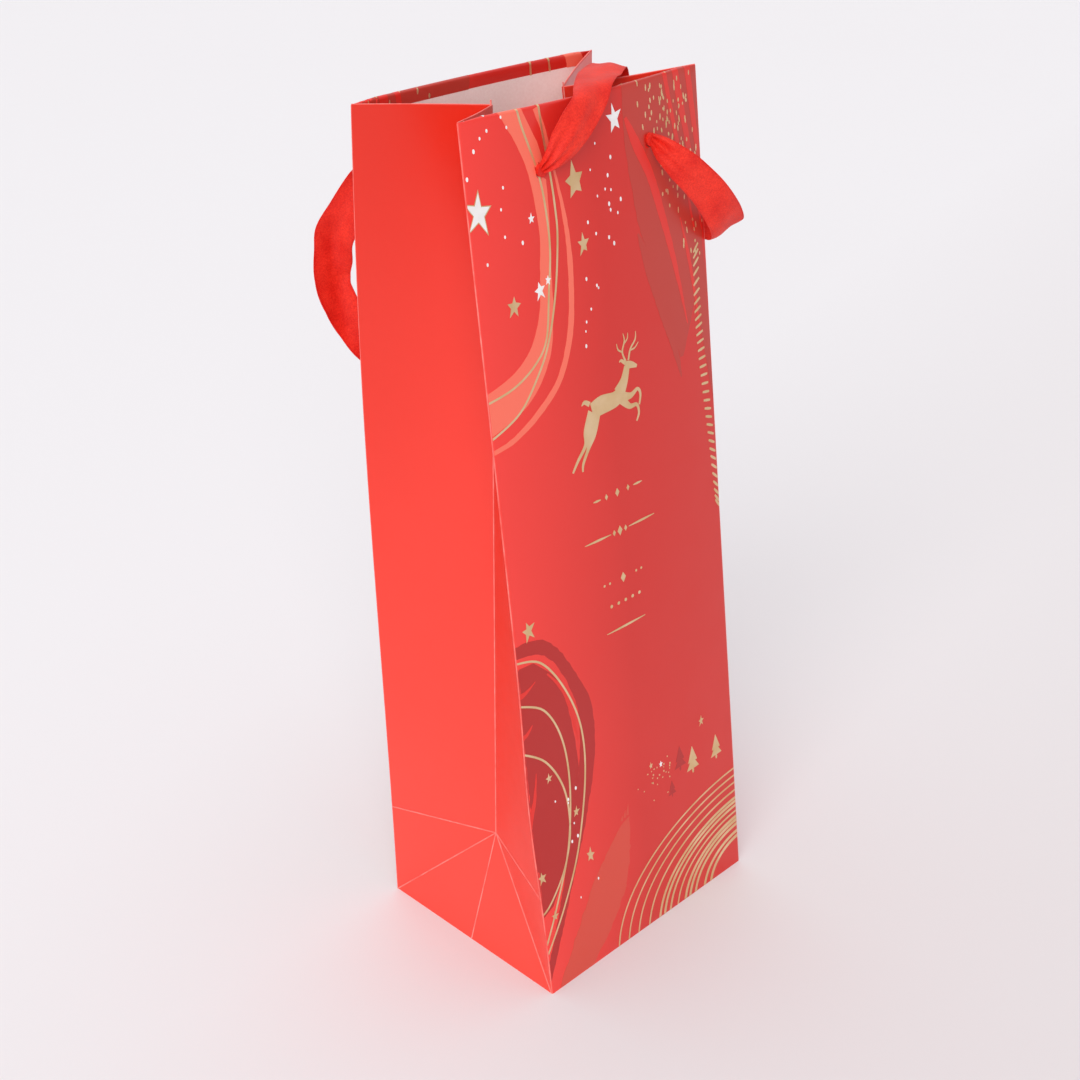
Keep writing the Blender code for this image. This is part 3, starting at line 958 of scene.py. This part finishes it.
def spot(art, x, h, wide, tall, tilt=0.0, sides=8):
    """A small oval."""
    ring = []
    for step in range(sides):
        turn = 2.0 * math.pi * step / sides
        across, up = wide / 2.0 * math.cos(turn), tall / 2.0 * math.sin(turn)
        ring.append(art.verts.new((
            x + across * math.cos(tilt) - up * math.sin(tilt),
            h + across * math.sin(tilt) + up * math.cos(tilt), 0.0,
        )))
    art.faces.new(ring)


def star(art, x, h, radius, rng):
    """A hand-drawn five-pointed star with uneven arms."""
    tilt = math.radians(rng.uniform(78.0, 102.0))
    middle = art.verts.new((x, h, 0.0))
    ring = []
    for step in range(10):
        tip = step % 2 == 0
        reach = radius * (rng.uniform(0.85, 1.18) if tip else rng.uniform(0.38, 0.50))
        turn = tilt + step * math.pi / 5.0 + (rng.uniform(-0.10, 0.10) if tip else 0.0)
        ring.append(art.verts.new((
            x + 0.72 * reach * math.cos(turn), h + reach * math.sin(turn), 0.0,
        )))
    for step in range(10):
        art.faces.new((middle, ring[step], ring[(step + 1) % 10]))


def tree(art, x, h, size):
    """A small fir: two stacked tiers and a trunk."""
    for low, high, wide in ((0.15, 0.62, 0.62), (0.42, 1.0, 0.46)):
        corners = ((-wide / 2, low), (wide / 2, low), (0.0, high))
        art.faces.new([art.verts.new((x + dx * size, h + dh * size, 0.0)) for dx, dh in corners])
    spot(art, x, h + size * 0.08, size * 0.10, size * 0.2, 0.0, 6)


def cut_art(art, place, direction, trim):
    """Cut artwork along a line, and drop what is beyond it to trim."""
    everything = art.verts[:] + art.edges[:] + art.faces[:]
    bmesh.ops.bisect_plane(
        art, geom=everything, plane_co=place, plane_no=direction, clear_outer=trim,
    )


def clear_holes(art, wall):
    """Leave the ribbon holes open."""
    doomed = []
    for x, _, z in HOLES[wall]:
        across = -OUTWARD[wall] * (x - RIM_SHIFT[wall] * z / RIM_Z) / MM
        centre = Vector((across, z * wall_rise(wall) / RIM_Z / MM, 0.0))
        for face in art.faces:
            if (face.calc_center_median() - centre).length < HOLE_RADIUS / MM:
                doomed.append(face)
    bmesh.ops.delete(art, geom=list(set(doomed)), context="FACES")


def lay_on(name, wall, art, lift, material):
    """Trim flat artwork to the printed sheet and lay it on the wall, over its folded rim."""
    rise = wall_rise(wall) / MM
    edge = HALF_WIDTH / MM - ART_MARGIN
    top = rise + PRINTED_HEM / MM + 1.0
    cut_art(art, (edge, 0, 0), (1, 0, 0), True)
    cut_art(art, (-edge, 0, 0), (-1, 0, 0), True)
    cut_art(art, (0, top, 0), (0, 1, 0), True)
    cut_art(art, (0, ART_FOOT, 0), (0, -1, 0), True)
    for index in range(FOLD_CUTS):
        cut_art(art, (0, rise + FOLD_CUT_PITCH * index, 0), (0, 1, 0), False)
    clear_holes(art, wall)
    for vert in art.verts:
        across, height = vert.co.x * MM, vert.co.y * MM
        vert.co = wall_point(wall, across, height) + wall_normal(wall, across, height) * lift
    mesh = bpy.data.meshes.new(name)
    art.to_mesh(mesh)
    art.free()
    mesh.materials.append(material)
    obj = add_object(name, mesh)
    thicken(obj, lift * 0.8)
    finish_mesh(obj, 40.0)
    body = BODY[wall]
    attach(obj, body)


def dark_art(rng, lean):
    """Dark brush work: the broad area at upper right and the loops at lower left."""
    art = bmesh.new()
    patch(art,
          ((15 - lean, 362), (14 - lean, 351), (14 - lean / 2, 334), (16, 318),
           (19, 302), (25, 288), (33, 265), (39, 246)),
          ((62, 362), (62, 352), (62, 337), (61, 322), (60, 305), (57, 286), (50, 265), (41, 246)),
          44, 0.25, rng)
    stroke(art, ((18, 300), (24, 285), (31, 266), (37, 247), (39, 238)),
           (1.0, 6.0, 6.0, 3.0, 0.6), 0.2, rng)
    stroke(art, ((52, 300), (54, 280), (56, 262), (59, 240), (61, 220)), (8, 9, 8, 6, 2), 0.2, rng)
    stroke(art, ((-62, 157), (-50, 156), (-42, 150), (-35, 138), (-29, 123), (-28, 108),
                 (-30, 92), (-35, 73), (-40, 59), (-46, 44), (-54, 24), (-62, 6)),
           (5, 6, 5, 5, 7, 8, 8, 7, 6, 5, 4, 4), 0.25, rng)
    patch(art,
          ((-62, 150), (-62, 130), (-62, 110), (-62, 88), (-62, 62), (-62, 36)),
          ((-52, 150), (-41, 138), (-36, 118), (-34, 92), (-40, 66), (-54, 40)),
          36, 0.3, rng)
    for x, h, size in ((24, 66, 12), (18, 56, 8)):
        tree(art, x, h, size)
    return art


def bright_art(rng):
    """Thin clean red streaks through the dark areas."""
    art = bmesh.new()
    for points, widths in (
        (((15, 343), (20, 333), (27, 320), (33, 303), (39, 283), (45, 258)),
         (1.4, 4.4, 4.2, 3.8, 2.6, 0.6)),
        (((38, 362), (40, 350), (44, 332), (49, 312), (53, 292)), (2.2, 2.4, 2.2, 1.8, 0.5)),
        (((45, 362), (47, 348), (51, 330), (55, 310), (58, 292)), (3.6, 3.8, 3.2, 2.4, 0.8)),
        (((53, 362), (55, 345), (58, 322), (60, 300)), (3.8, 3.4, 2.6, 1.0)),
        (((44, 300), (48, 284), (51, 268), (53, 252)), (0.6, 1.8, 1.6, 0.5)),
        (((-62, 138), (-57, 139), (-52, 142)), (3.0, 1.8, 0.3)),
        (((-62, 119), (-58, 121), (-55, 124)), (2.6, 1.6, 0.3)),
        (((-46, 143), (-39, 133), (-35, 120), (-33, 108)), (0.6, 1.8, 1.8, 0.4)),
        (((-62, 76), (-57, 90), (-55, 102)), (2.8, 1.6, 0.3)),
    ):
        stroke(art, points, widths, 0.12, rng)
    return art


def coral_art(rng, lean):
    """Light orange brush arcs at upper left."""
    art = bmesh.new()
    patch(art,
          ((-47 - lean, 362), (-43 - lean, 353), (-37, 342), (-33, 330), (-31, 312), (-32, 300),
           (-34, 284), (-39, 272), (-48, 264), (-61, 259)),
          ((-36 - lean, 362), (-33 - lean, 352), (-28, 341), (-26, 330), (-26, 312), (-27, 300),
           (-28, 280), (-32, 264), (-43, 251), (-61, 243)),
          60, 0.12, rng)
    stroke(art, ((-28, 354), (-25, 345), (-22, 332), (-19, 315), (-18, 300), (-19, 282),
                 (-22, 268), (-28, 256), (-38, 247), (-50, 240), (-61, 237)),
           (2.4, 2.0, 1.0, 1.8, 2.4, 2.6, 2.8, 2.6, 2.6, 2.2, 1.6), 0.1, rng)
    return art


def dry_art(rng):
    """The broad dry brush stroke at the bottom, with its ragged top."""
    art = bmesh.new()
    patch(art,
          ((-14, 58), (-22, 50), (-32, 39), (-42, 23), (-56, 0)),
          ((-9, 60), (-9, 50), (-13, 30), (-22, 15), (-36, 0)),
          40, 0.5, rng)
    for x, h, reach in ((-9.6, 60.8, 5.0), (-11.4, 60.4, 3.2), (-13.2, 59.8, 2.0)):
        stroke(art, ((x, h), (x + 0.3, h + reach / 2), (x + 0.8, h + reach)), (1.5, 1.0, 0.2))
    return art


def ladder(art):
    """A ladder of short ticks down the right edge, turning from rising to falling."""
    places = ((53, 286, 0), (52, 265, 0), (53, 245, 0), (55, 223, 0), (57, 201, 0), (58.5, 177, 0))
    path = smooth_line(places, 3.6)
    for index, point in enumerate(path):
        tilt = math.radians(-42.0 + 100.0 * index / len(path))
        reach = Vector((math.cos(tilt), -math.sin(tilt))) * 2.3
        middle = point.to_2d()
        stroke(art, (middle - reach, middle, middle + reach), (0.8, 1.15, 0.8))


def foil_lines(art):
    """The long drawn foil lines: two at upper left, loops at lower left, rings at lower right."""
    for points in (
        ((-37, 361), (-35, 350), (-29, 331), (-27, 315), (-27, 303),
         (-29, 290), (-32, 273), (-38, 265), (-48, 259), (-60, 256)),
        ((-27, 361), (-26, 347), (-24, 331), (-23, 319), (-23, 308),
         (-26, 289), (-31, 272), (-37, 261), (-47, 249), (-61, 242)),
        ((-62, 153), (-49, 149), (-38, 133), (-31, 112), (-31, 88), (-38, 59), (-49, 36), (-61, 18)),
        ((-62, 135), (-49, 128), (-41, 111), (-39, 88), (-43, 62), (-52, 40), (-60, 24)),
        ((-62, 114), (-50, 105), (-42, 89), (-41, 70), (-46, 54), (-55, 42), (-61, 38)),
    ):
        stroke(art, points, 0.85)
    for share, wide in (
        (0.0, 0.8), (0.10, 0.8), (0.20, 0.8), (0.31, 0.9), (0.42, 1.3), (0.47, 1.4), (0.53, 1.2),
        (0.61, 0.9), (0.69, 1.5), (0.74, 1.5), (0.80, 1.4), (0.90, 1.5), (0.97, 1.6),
    ):
        reach = 82.0 - 62.0 * share
        tall = 51.0 - 36.0 * share
        line = []
        for step in range(13):
            turn = math.radians(88.0 + 96.0 * step / 12.0)
            line.append((62.0 + reach * math.cos(turn), -2.0 + tall * math.sin(turn)))
        stroke(art, line, wide)


def leaping_deer(art):
    """A plain leaping deer, from tapered strokes."""
    for points, widths in (
        (((-13, 240), (-8, 241), (-1, 241), (4, 243)), (6.5, 7.5, 6.4, 6.0)),
        (((2, 243), (5, 247), (7, 252)), (6.5, 4.2, 3.0)),
        (((6, 252.5), (9, 252), (12.5, 250.5)), (3.2, 2.8, 1.2)),
        (((6.5, 253), (4, 255), (3, 254.5)), (1.4, 1.2, 0.3)),
        (((3, 241), (8, 240), (12, 241.5), (13.5, 239), (12.5, 235)), (4.2, 2.4, 1.4, 1.2, 0.9)),
        (((3, 240), (7, 236), (11, 235.5), (12, 232), (10.5, 229)), (4.0, 2.2, 1.4, 1.1, 0.8)),
        (((-12, 239), (-16, 233), (-17.5, 228), (-22, 223), (-25, 219)), (7.0, 4.2, 1.9, 1.3, 0.9)),
        (((-12, 238), (-13.5, 231), (-16.5, 226), (-19.5, 221), (-20, 218)), (6.0, 3.4, 1.7, 1.2, 0.8)),
        (((-14, 243), (-16.5, 244.5), (-18, 243.5)), (2.0, 1.6, 0.4)),
        (((6.5, 254), (5.0, 258), (6.5, 262), (6.0, 265)), (0.9, 0.8, 0.7, 0.3)),
        (((8.0, 254), (9.5, 258), (12.5, 261), (13.0, 264)), (0.9, 0.8, 0.7, 0.3)),
        (((5.2, 258), (2.8, 259.5), (2.2, 262)), (0.7, 0.6, 0.3)),
        (((9.3, 257.6), (12.0, 257.8), (14.2, 259.5)), (0.7, 0.6, 0.3)),
        (((6.3, 261), (8.2, 262.5), (8.6, 264.6)), (0.6, 0.5, 0.3)),
    ):
        stroke(art, points, widths, pitch=0.8)


def ornament_rows(art):
    """Lozenges, dots and rules in place of the greeting."""
    for x, h, size in ((-9, 204, 2.6), (-3, 204, 3.6), (3, 204, 2.6)):
        lozenge(art, x, h, size)
    for start, end, h in ((-16, -12, 204), (6, 11, 204), (-22, -8, 188), (2, 17, 188), (-14, 8, 147)):
        stroke(art, ((start, h), ((start + end) / 2, h), (end, h)), (0.3, 1.0, 0.3))
    for x in (-6.2, -3.0, 0.2):
        lozenge(art, x, 188, 4.2 if x == -3.0 else 2.6)
    lozenge(art, -3, 168, 4.4)
    for x in range(-11, 7, 4):
        spot(art, x + 0.5, 158, 1.5, 1.5)
    for x in (-12, -9, 6, 9):
        spot(art, x - 1.5, 168, 1.1, 1.1)


def lozenge(art, x, h, size):
    """An upright diamond."""
    corners = ((size * 0.32, 0.0), (0.0, size / 2.0), (-size * 0.32, 0.0), (0.0, -size / 2.0))
    art.faces.new([art.verts.new((x + dx, h + dh, 0.0)) for dx, dh in corners])


def gold_art(rng):
    """All the gold foil on a broad wall."""
    art = bmesh.new()
    foil_lines(art)
    ladder(art)
    leaping_deer(art)
    ornament_rows(art)
    for x, h, radius in (
        (-13, 326, 7.0), (-11, 303, 4.2), (-45, 288, 4.2), (-53, 164, 4.4), (-49, 97, 2.2),
        (-37, 76, 2.4), (-32, 53, 3.4), (-58, 55, 3.0), (-54, 35, 2.4), (39, 83, 2.4), (6, 77, 1.6),
    ):
        star(art, x, h, radius, rng)
    for x, h, size in ((32, 61, 13), (48, 60, 12)):
        tree(art, x, h, size)
    for _ in range(130):
        h = rng.triangular(280.0, 361.0, 345.0)
        x = rng.triangular(8.0 + (361.0 - h) * 0.5, 59.0, 36.0 + (361.0 - h) * 0.22)
        wide, tall = rng.uniform(0.55, 0.95), rng.uniform(1.2, 3.0)
        spot(art, x, h, wide, tall, rng.uniform(-0.15, 0.15), 6)
    # The large gold star, under a narrower white one that is a painted glint
    star(art, -55.8, 323.0, 8.0, random.Random(3))
    for _ in range(26):
        x, h = rng.uniform(-6, 18), rng.gauss(70, 4.5)
        spot(art, x, h, rng.uniform(0.5, 1.0), rng.uniform(0.5, 1.1), 0.0, 6)
    return art


def foil_glint_art(rng):
    """Painted glint: foil drawn white where it flashes, on a few stars and scattered dots."""
    art = bmesh.new()
    # White centre of the large gold star: a painted glint
    star(art, -55.8, 323.0, 6.9, random.Random(3))
    for x, h, radius in (
        (-34, 317, 2.0), (-33, 291, 3.6), (-29, 294, 1.9), (9, 344, 5.2), (12, 75, 1.6),
    ):
        star(art, x, h, radius, rng)
    for count, columns, rows in (
        (9, (-59, -40), (334, 357)), (5, (-56, -38), (290, 330)),
        (15, (-8, 12), (298, 338)), (8, (-14, -4), (265, 300)), (9, (-48, -24), (24, 90)),
    ):
        for _ in range(count):
            size = rng.uniform(0.55, 1.05)
            spot(art, rng.uniform(*columns), rng.uniform(*rows), size, size * 1.7, 0.0, 7)
    return art


# --- assembly

def bend_with_wall(obj):
    """Bake a gusset piece's placement into its mesh."""
    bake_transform(obj)


def build_walls():
    """Both broad walls with their rim cards, and the glued seam tab."""
    for wall, body in BODY.items():
        sheet = wall_sheet(wall)
        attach(sheet, body)
        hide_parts(wall + "_panel", wall + "_rim_hem")
        rise = wall_rise(wall)
        reach = HALF_WIDTH * (1.0 - CARD_CLEARANCE)
        card = wall_strip(wall + "_stiffener", wall, (-reach, reach),
                          (rise - CARD_REACH, rise - RIM_CLEARANCE), PAPER + CARD_GAP, CARD, BOARD)
        pierce(card, wall)
        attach(card, body)
        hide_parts(wall + "_rim_card")
    tab_top = wall_rise("back") - HEM - RIM_CLEARANCE
    tab = wall_strip("glue_tab", "back", TAB_ACROSS, (TAB_FOOT, tab_top),
                     PAPER + TAB_GAP, PAPER, WHITE_PAPER)
    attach(tab, "bag")
    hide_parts("seam_tab")


def build_gussets():
    """Four gusset halves."""
    for side in SIGN:
        for half in OUTWARD:
            sheet = gusset_half(side, half)
            bend_with_wall(sheet)
            nodes = [f"{side}_gusset_{half}_{part}" for part in GUSSET_FLATS]
            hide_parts(*nodes)


def crease_bead(name, points, radius=CREASE_BEAD):
    """One fold of a gusset: worn ink and a painted highlight."""
    bend_with_wall(tube(name, points, radius, SOFT_CREASE))


def gusset_creases(side):
    """The folds of one gusset: worn ink and a painted highlight."""
    _, foot, _, inner_score, apex, _ = gusset_frame(side, "front")
    crease_bead(f"{side}_mid_crease", between(inner_score, apex, LONG_STEPS))
    crease_bead(f"{side}_foot_crease", between(foot, inner_score, 12))
    for half in OUTWARD:
        floor, _, score, _, _, inward = gusset_frame(side, half)
        crease_bead(f"{side}_{half}_diagonal", between(floor, inner_score, 16))
        crease_bead(f"{side}_{half}_score", between(score, inner_score, 12))
        top = inward * GUSSET_HEM_GAP / 2.0 + UP * (GUSSET_HEM_GAP / 2.0 - 0.0001)
        shares = [step / 14.0 for step in range(15)]
        rim = [gusset_upper(side, half, share, rim_level(share)) + top for share in shares]
        # Pale bead along the rim: worn ink and a painted highlight
        crease_bead(f"{side}_{half}_rim_wear", rim, RIM_BEAD)


def build_creases():
    """Beads along every fold that shows: worn ink and a painted highlight."""
    for wall, body in BODY.items():
        inward = Vector((0.0, -OUTWARD[wall] * EDGE_SINK, 0.0))
        for side, sign in SIGN.items():
            heights = [RIM_Z * step / LONG_STEPS for step in range(LONG_STEPS + 1)]
            points = [wall_face(wall, sign * EDGE_SHARE, height) + inward for height in heights]
            # Pale bead down the wall's edge: worn ink and a painted highlight
            bead = tube(f"{wall}_{side}_edge_wear", points, CREASE_BEAD, WORN_AND_LIT_EDGE)
            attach(bead, body)
    for side in SIGN:
        gusset_creases(side)


def build_art():
    """Printed and foiled artwork. On the back wall its top sits a little further over."""
    for wall, seed, lean in (("front", 7, 0.0), ("back", 19, 10.0)):
        rng = random.Random(seed)
        for label, art, lift, material in (
            ("dark_ink", dark_art(rng, lean), 0.00004, DARK_PRINT),
            ("coral_ink", coral_art(rng, lean), 0.00006, CORAL_PRINT),
            ("dry_ink", dry_art(rng), 0.00005, DRY_PRINT),
            ("bright_ink", bright_art(rng), 0.00008, BRIGHT_PRINT),
            ("gold_foil", gold_art(rng), 0.00011, GOLD_FOIL),
            ("foil_glint", foil_glint_art(rng), 0.00013, FOIL_GLINT),
        ):
            lay_on(f"{wall}_{label}", wall, art, lift, material)


def build_handles():
    """The two ribbons and their knots."""
    for side, rows, length, cup in HANDLES:
        strap, path = ribbon(side + "_satin_ribbon", rows, cup)
        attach(strap, side + "_handle")
        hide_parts(side + "_ribbon")
        outward = Vector((0.0, OUTWARD[side], 0.0))
        body = BODY[side]
        for label, place in zip(("left", "right"), HOLES[side]):
            tied = knot(f"{side}_tied_{label}", place, outward, 0.6 if label == "left" else 2.1)
            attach(tied, body)
            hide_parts(f"{side}_knot_{label}")


def paint_base():
    """Better finishes on the base pieces that stay from the CAD model."""
    finishes = {
        "front_base_flap": RED_PRINT, "back_base_flap": RED_PRINT,
        "left_base_flap": WHITE_PAPER, "right_base_flap": WHITE_PAPER, "base_board": BOARD,
    }
    for name, material in finishes.items():
        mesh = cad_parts[name].data
        mesh.materials.clear()
        mesh.materials.append(material)


def build_floor():
    """A wide plain pale floor, with painted shade: darker toward the near right."""
    graph = Graph("floor")
    x, y, _ = graph.parts(graph.place())
    # Painted shade: the floor colour darkens toward the near right
    place = graph.math("SUBTRACT", graph.math("MULTIPLY", x, 0.28), graph.math("MULTIPLY", y, 1.13))
    share = graph.map_range(place, 0.0, 1.0, -0.25, 0.45)
    cloud = graph.math("MULTIPLY", graph.noise(1.4, 2.0), 0.1)
    graph.set(
        Base_Color=graph.ramp(
            graph.math("ADD", share, cloud), (0.83, 0.815, 0.835), (0.73, 0.69, 0.70), 0.0, 1.1,
        ),
        Roughness=graph.map_range(graph.noise(40.0), 0.6, 0.7),
    )
    reach = 8.0
    verts = [(-reach, -reach, 0), (reach, -reach, 0), (reach, reach, 0), (-reach, reach, 0)]
    floor = mesh_from("floor", verts, [(0, 1, 2, 3)], [graph.material])


build_camera()
build_light()
build_handles()
build_walls()
build_gussets()
build_creases()
build_art()
paint_base()
build_floor()
